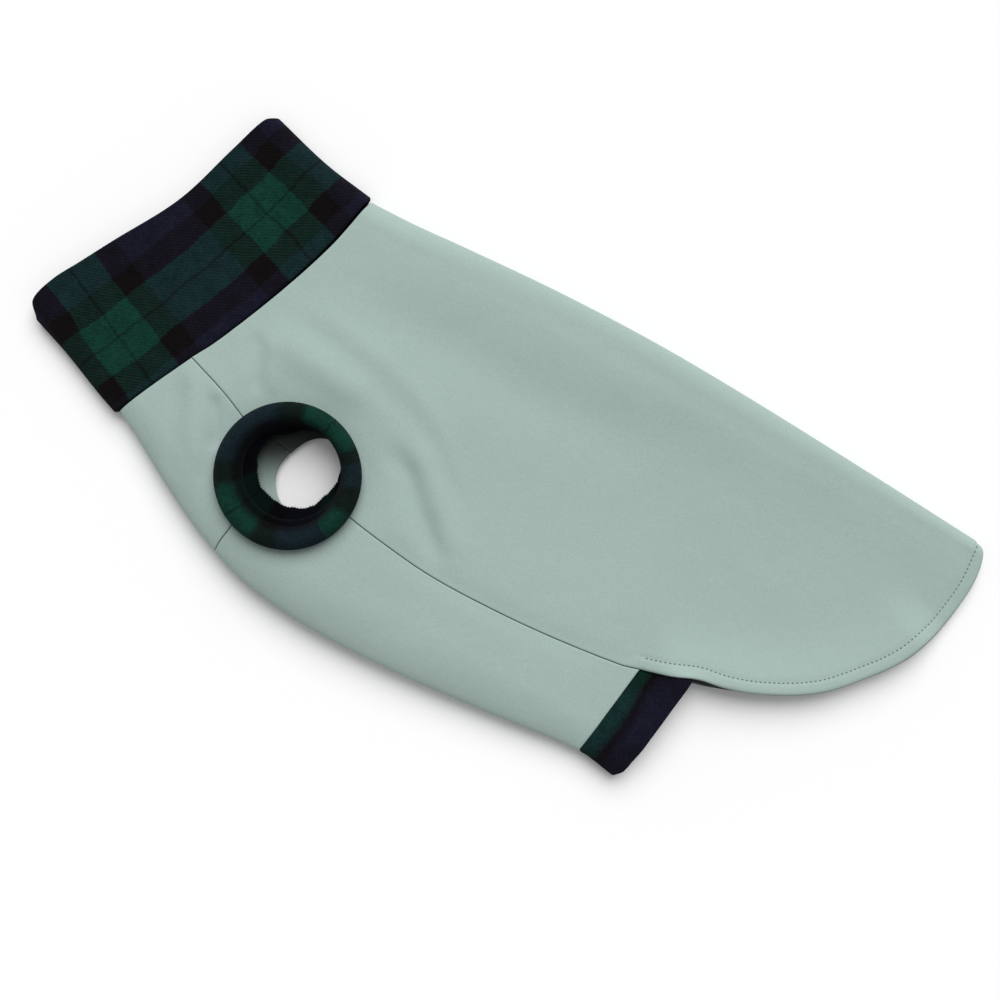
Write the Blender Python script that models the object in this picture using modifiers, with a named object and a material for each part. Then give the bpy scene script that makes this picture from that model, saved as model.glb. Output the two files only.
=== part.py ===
"""Pull-on dog coat in waterproof softshell with tartan trim, laid flat on its side.

The neck points along -X, the tail along +X, the folded centre back along +Y, and the belly
fold along -Y. The far half lies on the surface at Z = 0, and the near half lies on it.
Tables and sizes are in millimetres. The origin is the middle of the coat's foot print.

Each cloth piece is an open sheet, a grid laid between its edges, with a Solidify modifier for
the cloth's thickness. A folded piece runs from its near edge, over the fold, to its far edge.
"""

import math
from collections import namedtuple

import bmesh
import bpy
from mathutils import Vector

MM = 0.001
NEAR, FAR = 1, -1

# Cloth
SHELL_THICK = 1.8      # bonded softshell
TRIM_THICK = 2.8       # brushed tartan knit, folded double
SEAM_GAP = 0.3         # between two sewn pieces
LAYER_GAP = 0.3        # between two pieces that lie on each other

# Outlines of the laid coat, to the cloth's outer face, (x, y)
BACK_FOLD = (
    (-132, 105.2), (-106, 106.2), (-76, 108.8), (-16, 113.2),
    (44, 115.2), (104, 114.4), (194, 110.7), (262, 107.2),
)
BELLY_FOLD = (
    (-197, -68), (-181, -75.8), (-151, -92.2), (-121, -106.2), (-91, -116.3), (-61, -120.4),
    (-31, -121.3), (14, -119), (74, -112.5), (123, -107), (147.5, -110),
)
COLLAR_BACK = ((-202, 121), (-165, 111.6), (-133, 107.2))
COLLAR_FRONT = ((-264, -46), (-240, -54), (-211, -65.5), (-198, -70))

# Seams and open edges, from the back fold to the belly side or from neck to tail, (x, y)
NECK_BACK = ((-132, 105.2), (-138.3, 73.4), (-151.2, 33.2), (-167, -5.5), (-175.4, -21.3))
NECK_FRONT = ((-197, -68), (-187, -45.5), (-175.4, -21.3))
MOUTH_BACK = ((-202, 121), (-206.5, 117), (-214, 93.4), (-226.3, 53.5), (-247.6, 13.6), (-257.8, -5.8))
MOUTH_FRONT = ((-263.6, -46), (-269.8, -38), (-266, -22), (-257.8, -5.8))
COLLAR_SIDE = ((-175.4, -21.3), (-257.8, -5.8))
SHOULDER_SEAM = ((-175.4, -21.3), (-150.7, -29), (-134, -36))
SIDE_SEAM = ((-41, -57.6), (-1, -61.8), (39, -61.3), (79, -58.3), (119, -53), (130, -50))
HEM = (
    (130, -50), (159, -41), (194, -29.5), (224, -12), (247.5, 13.8), (257.3, 28.3), (262.8, 41),
)
TAIL_HEM = (
    (262, 107.2), (266.8, 104.6), (269.8, 97), (271.2, 85), (270.5, 72), (267.6, 54), (262.8, 41),
)
CHEST_SEAM = ((-111, -109.8), (-110.6, -103), (-109.2, -94))
BAND_SEAM = ((123, -107), (130, -50))
BAND_EDGE = ((147.5, -110), (150.8, -105.6), (154.6, -79), (159, -42))

# Armholes: the two halves don't lie exactly over each other
Armhole = namedtuple("Armhole", "x y seam_radius")
ARMHOLES = {NEAR: Armhole(-95, -48.5, 31.1), FAR: Armhole(-80.5, -47.2, 24.3)}
# Where the three seams reach an armhole, in degrees from +X
SHOULDER_AT, SIDE_AT, CHEST_AT = 165, -10, -115

# Height of the near half, by section along X, at five lines that run from neck to tail
LINES = (92, 62, 15, -45, -90)   # y of back roll, saddle, flank, side and belly
Section = namedtuple("Section", "x back_roll saddle flank side belly")
SECTIONS = (
    Section(-270, 9, 9, 10, 10.5, 10),
    Section(-200, 10, 10, 11, 12, 12),
    Section(-150, 11, 12, 15, 17, 16),
    Section(-95, 12, 12.5, 17, 19, 18.5),
    Section(-45, 11.5, 10.5, 15, 18, 18.5),
    Section(10, 11.2, 9.5, 12, 16, 17.5),
    Section(70, 10.4, 8.5, 10, 14, 15.5),
    Section(130, 9.2, 7.5, 8.5, 11.5, 12.5),
    Section(200, 8, 7, 7.5, 8.5, 9),
    Section(271, 6.5, 6, 6.5, 7, 7),
)
# Height of the two folds, and how far in the near half is still rounding over
Roll = namedtuple("Roll", "x height reach")
BACK_ROLL = (
    Roll(-202, 4.8, 9),
    Roll(-132, 5, 11),
    Roll(0, 5.5, 13),
    Roll(130, 4.8, 10),
    Roll(271, 3.4, 5),
)
BELLY_ROLL = (
    Roll(-264, 6.5, 10),
    Roll(-197, 7.8, 15),
    Roll(-110, 10.5, 24),
    Roll(0, 10.8, 27),
    Roll(123, 8.5, 18),
    Roll(151, 7.2, 12),
)
FAR_REACH = 0.9        # the far half's rounding, as a share of the fold's height

# Folds in the near half: the line that each follows, its half width and its height
Fold = namedtuple("Fold", "half_width height line")
FOLDS = (
    Fold(8, 1.6, ((-146, 38), (-101, 35), (-61, 25), (-31, 12), (-6, -6))),
    Fold(7, -1.5, ((-146, 24), (-101, 22), (-61, 12), (-34, -2), (-6, -26))),
    Fold(7, 1.6, ((-38, -2), (-18, -14), (2, -32), (16, -48))),
    Fold(6, -2.2, ((-52, -16), (-34, -28), (-20, -42), (-8, -56))),
    Fold(5, -1.5, ((-172, -30), (-162, -52), (-148, -72), (-132, -90))),
    Fold(6, -1.2, ((-146, 8), (-138, -6), (-130, -20))),
)
FOLD_TAPER = 0.25      # share of a fold's length over which each end dies out
# The cloth dips round the near cuff, from the armhole out to this radius
DIP_DEPTH, DIP_RADIUS = 2.5, 62

# Leg cuffs, by ring from the sewn-in edge to the folded edge: radius, centre shift from the
# armhole's, and height over the armhole's edge
Ring = namedtuple("Ring", "radius shift_x shift_y rise")
NEAR_CUFF = (
    Ring(24.3, 1.1, 4.5, -3.4),
    Ring(27.2, 0.4, 1.6, -2.4),
    Ring(29.2, 0, 0, -0.9),
    Ring(29.2, 0, 0, 1.0),
    Ring(29.8, 0.1, -1.3, 3.8),
    Ring(31.2, 0.2, -2.9, 7.2),
    Ring(33.8, 0.3, -3.7, 10.2),
    Ring(36.8, 0.3, -3.7, 10.6),
    Ring(39.3, 0.3, -3.7, 8.6),
    Ring(39.9, 0.3, -3.7, 5.8),
    Ring(39.2, 0.3, -3.7, 3.6),
)
FAR_CUFF_RADII = (25.6, 30, 35, 42)
# The far half is held up out to this radius, and is down on the surface this much farther out
HELD_UP, LET_DOWN = 54, 18

# The belly band's upper end runs inside the hem: each row is a start in x and a run in x
TUCK = 5.0             # how far in
TUCK_FROM, TUCK_RUN = 136, 8
SHIFT_FROM, SHIFT_RUN = 123, 12
SHIFT = {NEAR: -3.0, FAR: 2.2}      # how far the end moves inward, to clear the hem
SHIFT_Y_FROM, SHIFT_Y_RUN = -76, 22

# Where the rows of a piece start from its fold, in x, at the ends of each stretch of its edge
BACK_MARKS = (-132, -116, 10, 145, 262)
CHEST_MARKS = (-197, -150, -111)
BELLY_MARKS = (-111, -30, 123)
BAND_MARKS = (123, 147.5)
COLLAR_BACK_MARKS = (-133, -202)
COLLAR_FRONT_MARKS = (-198, -264)

# Grid steps
FOLD_STEPS = {NEAR: 5, FAR: 4}      # round each side of a fold
SHOULDER_STEPS, SIDE_STEPS, HEM_STEPS, NECK_STEPS, BAND_STEPS = 4, 15, 11, 6, 4
BACK_ARC_STEPS, CHEST_ARC_STEPS, BELLY_ARC_STEPS = 14, 6, 8
BACK_ACROSS = {NEAR: 14, FAR: 9}    # from a fold's roll to the inner edge
CHEST_ACROSS = BELLY_ACROSS = {NEAR: 7, FAR: 5}
CUFF_STEPS = 32

# Looks: colour and roughness
Look = namedtuple("Look", "colour rough")
SHELL_LOOK = Look((0.3, 0.385, 0.358), 0.75)
TRIM_LOOK = Look((0.012, 0.03, 0.032), 0.95)


# ---- curves through the tables

def hermite(p0, p1, m0, m1, t):
    """Point or number at t, from 0 to 1, on the cubic with these ends and end slopes."""
    return (
        p0 * (2 * t**3 - 3 * t**2 + 1) + m0 * (t**3 - 2 * t**2 + t)
        + p1 * (3 * t**2 - 2 * t**3) + m1 * (t**3 - t**2)
    )


def smooth(places, values, at):
    """The value at a place, on a smooth curve through values at rising places."""
    last = len(places) - 1
    at = min(max(at, places[0]), places[last])
    i = max(k for k in range(last) if places[k] <= at)

    def slope(k):
        a, b = max(k - 1, 0), min(k + 1, last)
        return (values[b] - values[a]) / (places[b] - places[a])

    step = places[i + 1] - places[i]
    t = (at - places[i]) / step
    return hermite(values[i], values[i + 1], slope(i) * step, slope(i + 1) * step, t)


def along(points, share):
    """The point at a share of the length of a smooth curve through (x, y) points."""
    points = [Vector(p) for p in points]
    places = [0.0]
    for a, b in zip(points, points[1:]):
        places.append(places[-1] + (b - a).length)
    return smooth(places, points, share * places[-1])


def outline_y(table, x):
    return smooth([p[0] for p in table], [p[1] for p in table], x)


def ease(t):
    """0 to 1 along a quarter of an ellipse that starts upright."""
    return math.sqrt(1 - (1 - min(max(t, 0), 1)) ** 2)


def step(t):
    """0 to 1, flat at both ends."""
    t = min(max(t, 0), 1)
    return t * t * (3 - 2 * t)


# ---- the cloth's height over the surface, at its mid thickness

def fold_height(x, y):
    """What the folds add to the near half."""
    here, total = Vector((x, y)), 0.0
    for fold in FOLDS:
        line = [Vector(p) for p in fold.line]
        spans = len(line) - 1
        best, place = math.inf, 0.0
        for k, (a, b) in enumerate(zip(line, line[1:])):
            t = min(max((here - a).dot(b - a) / (b - a).length_squared, 0), 1)
            away = (here - a.lerp(b, t)).length
            if away < best:
                best, place = away, (k + t) / spans
        dying = step(place / FOLD_TAPER) * step((1 - place) / FOLD_TAPER)
        total += fold.height * dying * math.exp(-((best / fold.half_width) ** 2))
    return total


def lift(x, y):
    """Height of the near half away from its folded edges."""
    places = [s.x for s in SECTIONS]
    heights = [smooth(places, [s[k] for s in SECTIONS], x) for k in range(1, 6)]
    base = smooth([-line for line in LINES], heights, -y)
    hole = ARMHOLES[NEAR]
    away = math.hypot(x - hole.x, y - hole.y)
    dip = step((DIP_RADIUS - away) / (DIP_RADIUS - hole.seam_radius))
    return base + fold_height(x, y) - DIP_DEPTH * dip


def roll_at(table, x):
    places = [r.x for r in table]
    return (
        smooth(places, [r.height for r in table], x),
        smooth(places, [r.reach for r in table], x),
    )


def over_far_cuff(x, y):
    """How far the far half is held up by the cuff under it."""
    hole = ARMHOLES[FAR]
    away = math.hypot(x - hole.x, y - hole.y)
    return (TRIM_THICK + LAYER_GAP) * step((HELD_UP + LET_DOWN - away) / LET_DOWN)


# A cloth: its thickness, and the outlines of the two folds that bound it
Cloth = namedtuple("Cloth", "thick back belly")
SHELL = Cloth(SHELL_THICK, BACK_FOLD, BELLY_FOLD)
BAND = Cloth(TRIM_THICK, BACK_FOLD, BELLY_FOLD)
COLLAR = Cloth(TRIM_THICK, COLLAR_BACK, COLLAR_FRONT)


def nearest_fold(cloth, x, y):
    """How far (x, y) is from the nearer fold's mid thickness, and that fold's height and reach."""
    from_back = outline_y(cloth.back, x) - y
    from_belly = y - outline_y(cloth.belly, x)
    height, reach = roll_at(BACK_ROLL if from_back < from_belly else BELLY_ROLL, x)
    return min(from_back, from_belly) - cloth.thick / 2, height, reach


def on_cloth(cloth, side, x, y):
    """The point of the cloth's mid thickness over (x, y)."""
    inset, height, reach = nearest_fold(cloth, x, y)
    if side == NEAR:
        z = lift(x, y)
    else:
        z = cloth.thick / 2 + over_far_cuff(x, y)
        reach = FAR_REACH * height
    z = height + (z - height) * ease(inset / reach)
    if cloth is BAND:
        inward = step((x - SHIFT_FROM) / SHIFT_RUN) * step((y - SHIFT_Y_FROM) / SHIFT_Y_RUN)
        z += SHIFT[side] * inward
    return Vector((x, y, z))


# ---- seams and edges, as points by row

def spaced(points, steps):
    return [along(points, k / steps) for k in range(steps + 1)]


def round_armhole(side, start, end, steps):
    hole = ARMHOLES[side]
    angles = [math.radians(start + (end - start) * k / steps) for k in range(steps + 1)]
    return [
        Vector((hole.x + hole.seam_radius * math.cos(a), hole.y + hole.seam_radius * math.sin(a)))
        for a in angles
    ]


def at_armhole(side, angle):
    return tuple(round_armhole(side, angle, angle, 1)[0])


def along_fold(table, inset, marks, steps):
    """Points on a fold's mid thickness: between each two marks in x, a number of steps."""
    xs = [marks[0]]
    for a, b, count in zip(marks, marks[1:], steps):
        xs += [a + (b - a) * (k + 1) / count for k in range(count)]
    return [Vector((x, outline_y(table, x) + inset)) for x in xs]


# A patch of cloth that wraps a fold: points by row on the fold and on each side's inner edge,
# and for each side a curve from the fold to the inner edge along its first and its last row
Patch = namedtuple("Patch", "cloth fold inner start end across")


def moved(points, dx, dy):
    return [p + Vector((dx, dy)) for p in points]


def drawn_back(patch, sewn_end=True):
    """The patch, drawn back from the seam at its first row, and at its last row if sewn there."""
    for points in (patch.fold, *patch.inner.values()):
        points[0].x += SEAM_GAP / 2
        if sewn_end:
            points[-1].x -= SEAM_GAP / 2
    return patch


def back_patch():
    inner = {}
    for side in (NEAR, FAR):
        shoulder = spaced(SHOULDER_SEAM + (at_armhole(side, SHOULDER_AT),), SHOULDER_STEPS)
        arc = round_armhole(side, SHOULDER_AT, SIDE_AT, BACK_ARC_STEPS)
        side_seam = spaced((at_armhole(side, SIDE_AT),) + SIDE_SEAM, SIDE_STEPS)
        hem = spaced(HEM, HEM_STEPS)
        sewn = moved(shoulder + arc[1:] + side_seam[1:], 0, SEAM_GAP / 2)
        inner[side] = sewn + hem[1:]
    fold = along_fold(
        BACK_FOLD, -SHELL_THICK / 2, BACK_MARKS,
        (SHOULDER_STEPS, BACK_ARC_STEPS, SIDE_STEPS, HEM_STEPS),
    )
    neck = {NEAR: NECK_BACK, FAR: NECK_BACK}
    tail = {NEAR: TAIL_HEM, FAR: TAIL_HEM}
    return drawn_back(Patch(SHELL, fold, inner, neck, tail, BACK_ACROSS), sewn_end=False)


def chest_patch():
    inner, seam = {}, {}
    for side in (NEAR, FAR):
        shoulder = spaced(SHOULDER_SEAM + (at_armhole(side, SHOULDER_AT),), SHOULDER_STEPS)
        arc = round_armhole(side, SHOULDER_AT, 360 + CHEST_AT, CHEST_ARC_STEPS)
        inner[side] = moved(shoulder + arc[1:], 0, -SEAM_GAP / 2)
        seam[side] = CHEST_SEAM + (at_armhole(side, CHEST_AT),)
    steps = (SHOULDER_STEPS, CHEST_ARC_STEPS)
    fold = along_fold(BELLY_FOLD, SHELL_THICK / 2, CHEST_MARKS, steps)
    neck = {NEAR: NECK_FRONT, FAR: NECK_FRONT}
    return drawn_back(Patch(SHELL, fold, inner, neck, seam, CHEST_ACROSS))


def belly_patch():
    inner, seam = {}, {}
    for side in (NEAR, FAR):
        arc = round_armhole(side, CHEST_AT, SIDE_AT, BELLY_ARC_STEPS)
        side_seam = spaced((at_armhole(side, SIDE_AT),) + SIDE_SEAM, SIDE_STEPS)
        inner[side] = moved(arc + side_seam[1:], 0, -SEAM_GAP / 2)
        seam[side] = CHEST_SEAM + (at_armhole(side, CHEST_AT),)
    steps = (BELLY_ARC_STEPS, SIDE_STEPS)
    fold = along_fold(BELLY_FOLD, SHELL_THICK / 2, BELLY_MARKS, steps)
    band = {NEAR: BAND_SEAM, FAR: BAND_SEAM}
    return drawn_back(Patch(SHELL, fold, inner, seam, band, BELLY_ACROSS))


def band_patch():
    end = []
    for k in range(BAND_STEPS + 1):
        x = BAND_SEAM[-1][0] + (BAND_EDGE[-1][0] - BAND_SEAM[-1][0]) * k / BAND_STEPS
        tuck = TUCK * step((x - TUCK_FROM) / TUCK_RUN) - SEAM_GAP
        end.append(Vector((x, outline_y(HEM, x) + tuck)))
    inner = {side: [point.copy() for point in end] for side in (NEAR, FAR)}
    fold = along_fold(BELLY_FOLD, TRIM_THICK / 2, BAND_MARKS, (BAND_STEPS,))
    seam = {NEAR: BAND_SEAM, FAR: BAND_SEAM}
    edge = {NEAR: BAND_EDGE, FAR: BAND_EDGE}
    return drawn_back(Patch(BAND, fold, inner, seam, edge, BELLY_ACROSS), sewn_end=False)


def collar_patches():
    """The collar's back and front parts, each from the neck seam to the collar's mouth."""
    side_line = spaced(COLLAR_SIDE, NECK_STEPS)
    patches = []
    half = TRIM_THICK / 2
    for table, inset, marks, neck, mouth, across in (
        (COLLAR_BACK, -half, COLLAR_BACK_MARKS, NECK_BACK, MOUTH_BACK, BACK_ACROSS),
        (COLLAR_FRONT, half, COLLAR_FRONT_MARKS, NECK_FRONT, MOUTH_FRONT, CHEST_ACROSS),
    ):
        fold = along_fold(table, inset, marks, (NECK_STEPS,))
        inner = {side: [point.copy() for point in side_line] for side in (NEAR, FAR)}
        start, end = {NEAR: neck, FAR: neck}, {NEAR: mouth, FAR: mouth}
        patch = Patch(COLLAR, fold, inner, start, end, across)
        for points in (patch.fold, *patch.inner.values()):
            points[0].x -= SEAM_GAP / 2
        patches.append(patch)
    return patches


# ---- points of a patch

def bow(curve, share):
    """How far a curve stands off the straight line between its ends."""
    return along(curve, share) - Vector(curve[0]).lerp(Vector(curve[-1]), share)


def row_shares(length, reach, fold_steps, steps):
    """Shares of a row from its fold: close together round the roll, then even."""
    reach = min(reach, length / 2)
    roll = [reach * (1 - math.cos(math.pi / 2 * k / fold_steps)) for k in range(fold_steps)]
    rest = [reach + (length - reach) * k / steps for k in range(steps + 1)]
    return [place / length for place in roll + rest]


def half_row(patch, side, row):
    """Points along one row, from the fold to the inner edge of one side."""
    fold, inner = patch.fold[row], patch.inner[side][row]
    _, height, reach = nearest_fold(patch.cloth, *fold)
    if side == FAR:
        reach = FAR_REACH * height
    shares = row_shares((inner - fold).length, reach, FOLD_STEPS[side], patch.across[side])
    last = len(patch.fold) - 1
    points = []
    for share in shares:
        bowed = bow(patch.start[side], share).lerp(bow(patch.end[side], share), row / last)
        points.append(on_cloth(patch.cloth, side, *(fold.lerp(inner, share) + bowed)))
    return points


def whole_row(patch, row):
    """Points along one row, from the far inner edge over the fold to the near inner edge."""
    return half_row(patch, FAR, row)[::-1] + half_row(patch, NEAR, row)[1:]


# ---- pieces

def new_piece(name, rows, thick, look, closed=False):
    """A cloth piece from rows of points in millimetres. A closed one joins each row's ends."""
    wide, long = len(rows[0]) - 1, len(rows) - 1
    shape = bmesh.new()
    bmesh.ops.create_grid(shape, x_segments=wide, y_segments=long, size=1)
    for vert in shape.verts:
        column, row = (vert.co.x + 1) / 2 * wide, (vert.co.y + 1) / 2 * long
        vert.co = rows[round(row)][round(column)] * MM
    if closed:
        bmesh.ops.remove_doubles(shape, verts=shape.verts, dist=0.001 * MM)
    mesh = bpy.data.meshes.new(name)
    shape.to_mesh(mesh)
    shape.free()

    material = bpy.data.materials.new(name)
    material.use_nodes = True
    finish = material.node_tree.nodes["Principled BSDF"]
    finish.inputs["Base Color"].default_value = (*look.colour, 1)
    finish.inputs["Roughness"].default_value = look.rough
    finish.inputs["Metallic"].default_value = 0
    mesh.materials.append(material)

    piece = bpy.data.objects.new(name, mesh)
    bpy.data.collections["dog_coat"].objects.link(piece)
    cloth = piece.modifiers.new("cloth", "SOLIDIFY")
    cloth.thickness = thick * MM
    cloth.offset = 0


def wrapped_piece(name, patch, look):
    rows = [whole_row(patch, row) for row in range(len(patch.fold))]
    new_piece(name, rows, patch.cloth.thick, look)


def collar():
    back, front = collar_patches()
    rows = []
    for row in range(NECK_STEPS + 1):
        rows.append(whole_row(back, row) + whole_row(front, row)[::-1][1:])
    new_piece("collar", rows, TRIM_THICK, TRIM_LOOK, closed=True)


def ring_points(centre_x, centre_y, radius, height):
    """A closed ring of points; height is a function of the angle."""
    points = []
    for k in range(CUFF_STEPS + 1):
        a = 2 * math.pi * (k % CUFF_STEPS) / CUFF_STEPS
        x, y = centre_x + radius * math.cos(a), centre_y + radius * math.sin(a)
        points.append(Vector((x, y, height(a))))
    return points


def cuffs():
    hole = ARMHOLES[NEAR]

    def armhole_edge(a):
        r = hole.seam_radius
        return on_cloth(SHELL, NEAR, hole.x + r * math.cos(a), hole.y + r * math.sin(a)).z

    rows = [
        ring_points(
            hole.x + ring.shift_x, hole.y + ring.shift_y, ring.radius,
            lambda a, rise=ring.rise: armhole_edge(a) + rise,
        )
        for ring in NEAR_CUFF
    ]
    new_piece("near_cuff", rows, TRIM_THICK, TRIM_LOOK, closed=True)

    hole = ARMHOLES[FAR]
    rows = [ring_points(hole.x, hole.y, r, lambda a: TRIM_THICK / 2) for r in FAR_CUFF_RADII]
    new_piece("far_cuff", rows, TRIM_THICK, TRIM_LOOK, closed=True)


def main():
    for obj in list(bpy.data.objects):
        bpy.data.objects.remove(obj)
    parts = bpy.data.collections.new("dog_coat")
    bpy.context.scene.collection.children.link(parts)

    wrapped_piece("back_panel", back_patch(), SHELL_LOOK)
    wrapped_piece("chest_panel", chest_patch(), SHELL_LOOK)
    wrapped_piece("belly_panel", belly_patch(), SHELL_LOOK)
    wrapped_piece("belly_band", band_patch(), TRIM_LOOK)
    collar()
    cuffs()


main()
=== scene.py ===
"""Looks of the pull-on dog coat, laid flat on its side: sage softshell with tartan trim.

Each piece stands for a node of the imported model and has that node's form, with finer folds,
rounded cloth edges, seams and sewing. Tables are in millimetres, in the part's own frame: +X
from neck to tail, +Y to the folded centre back, +Z up.
"""

import math
from collections import namedtuple

import bpy
import numpy as np
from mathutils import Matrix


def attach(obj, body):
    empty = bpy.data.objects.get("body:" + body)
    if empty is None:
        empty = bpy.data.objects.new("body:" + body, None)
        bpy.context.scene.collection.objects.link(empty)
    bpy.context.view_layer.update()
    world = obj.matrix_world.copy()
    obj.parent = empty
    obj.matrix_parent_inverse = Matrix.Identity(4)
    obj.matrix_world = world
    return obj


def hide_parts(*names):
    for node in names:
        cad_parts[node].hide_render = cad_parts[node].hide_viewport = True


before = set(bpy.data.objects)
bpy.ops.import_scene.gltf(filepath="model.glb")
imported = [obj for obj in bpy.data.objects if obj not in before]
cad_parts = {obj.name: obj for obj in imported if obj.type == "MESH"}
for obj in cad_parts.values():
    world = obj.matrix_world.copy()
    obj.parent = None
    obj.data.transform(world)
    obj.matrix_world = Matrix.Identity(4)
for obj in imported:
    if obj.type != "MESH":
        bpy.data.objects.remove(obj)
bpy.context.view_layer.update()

MM = 0.001
NEAR, FAR = 1, -1

# ---- the coat's sizes, as the part has them

SHELL_THICK = 1.8
TRIM_THICK = 2.8
HALF_SHELL, HALF_TRIM = SHELL_THICK / 2, TRIM_THICK / 2
LAYER_GAP = 0.3
SEAM_GAP = 0.3
HALF_GAP = SEAM_GAP / 2

BACK_FOLD = (
    (-132, 105.2), (-106, 106.2), (-76, 108.8), (-16, 113.2), (44, 115.2),
    (104, 114.4), (194, 110.7), (262, 107.2),
)
BELLY_FOLD = (
    (-197, -68), (-181, -75.8), (-151, -92.2), (-121, -106.2), (-91, -116.3),
    (-61, -120.4), (-31, -121.3), (14, -119), (74, -112.5), (123, -107),
    (147.5, -110),
)
COLLAR_BACK = ((-202, 121), (-165, 111.6), (-133, 107.2))
COLLAR_FRONT = ((-264, -46), (-240, -54), (-211, -65.5), (-198, -70))

NECK_BACK = ((-132, 105.2), (-138.3, 73.4), (-151.2, 33.2), (-167, -5.5), (-175.4, -21.3))
NECK_FRONT = ((-197, -68), (-187, -45.5), (-175.4, -21.3))
MOUTH_BACK = ((-202, 121), (-206.5, 117), (-214, 93.4), (-226.3, 53.5), (-247.6, 13.6), (-257.8, -5.8))
MOUTH_FRONT = ((-263.6, -46), (-269.8, -38), (-266, -22), (-257.8, -5.8))
COLLAR_SIDE = ((-175.4, -21.3), (-257.8, -5.8))
SHOULDER_SEAM = ((-175.4, -21.3), (-150.7, -29), (-134, -36))
SIDE_SEAM = ((-41, -57.6), (-1, -61.8), (39, -61.3), (79, -58.3), (119, -53), (130, -50))
HEM = (
    (130, -50), (159, -41), (194, -29.5), (224, -12), (247.5, 13.8), (257.3, 28.3), (262.8, 41),
)
TAIL_HEM = (
    (262, 107.2), (266.8, 104.6), (269.8, 97), (271.2, 85), (270.5, 72), (267.6, 54), (262.8, 41),
)
CHEST_SEAM = ((-111, -109.8), (-110.6, -103), (-109.2, -94))
BAND_SEAM = ((123, -107), (130, -50))
BAND_EDGE = ((147.5, -110), (150.8, -105.6), (154.6, -79), (159, -42))

Armhole = namedtuple("Armhole", "x y seam_radius")
ARMHOLES = {NEAR: Armhole(-95, -48.5, 31.1), FAR: Armhole(-80.5, -47.2, 24.3)}
SHOULDER_AT, SIDE_AT, CHEST_AT = 165, -10, -115

LINES = (92, 62, 15, -45, -90)
Section = namedtuple("Section", "x back_roll saddle flank side belly")
SECTIONS = (
    Section(-270, 9, 9, 10, 10.5, 10),
    Section(-200, 10, 10, 11, 12, 12),
    Section(-150, 11, 12, 15, 17, 16),
    Section(-95, 12, 12.5, 17, 19, 18.5),
    Section(-45, 11.5, 10.5, 15, 18, 18.5),
    Section(10, 11.2, 9.5, 12, 16, 17.5),
    Section(70, 10.4, 8.5, 10, 14, 15.5),
    Section(130, 9.2, 7.5, 8.5, 11.5, 12.5),
    Section(200, 8, 7, 7.5, 8.5, 9),
    Section(271, 6.5, 6, 6.5, 7, 7),
)
Roll = namedtuple("Roll", "x height reach")
BACK_ROLL = (
    Roll(-202, 4.8, 9), Roll(-132, 5, 11), Roll(0, 5.5, 13), Roll(130, 4.8, 10),
    Roll(271, 3.4, 5),
)
BELLY_ROLL = (
    Roll(-264, 6.5, 10), Roll(-197, 7.8, 15), Roll(-110, 10.5, 24), Roll(0, 10.8, 27),
    Roll(123, 8.5, 18), Roll(151, 7.2, 12),
)
FAR_REACH = 0.9
DIP_DEPTH, DIP_RADIUS = 2.5, 62
HELD_UP, LET_DOWN = 54, 18

TUCK = 5.0
TUCK_FROM, TUCK_RUN = 136, 8
SHIFT_FROM, SHIFT_RUN = 123, 12
SHIFT = {NEAR: -3.0, FAR: 2.2}
SHIFT_Y_FROM, SHIFT_Y_RUN = -76, 22

Ring = namedtuple("Ring", "radius shift_x shift_y rise")
NEAR_CUFF = (
    Ring(24.3, 1.1, 4.5, -3.4),
    Ring(27.2, 0.4, 1.6, -2.4),
    Ring(29.2, 0, 0, -0.9),
    Ring(29.2, 0, 0, 1.0),
    Ring(29.8, 0.1, -1.3, 3.8),
    Ring(31.2, 0.2, -2.9, 7.2),
    Ring(33.8, 0.3, -3.7, 10.2),
    Ring(36.8, 0.3, -3.7, 10.6),
    Ring(39.3, 0.3, -3.7, 8.6),
    Ring(39.9, 0.3, -3.7, 5.8),
    Ring(39.2, 0.3, -3.7, 3.6),
)
FAR_CUFF_FROM, FAR_CUFF_TO = 25.6, 42        # radii

# ---- what only the looks have

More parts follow.
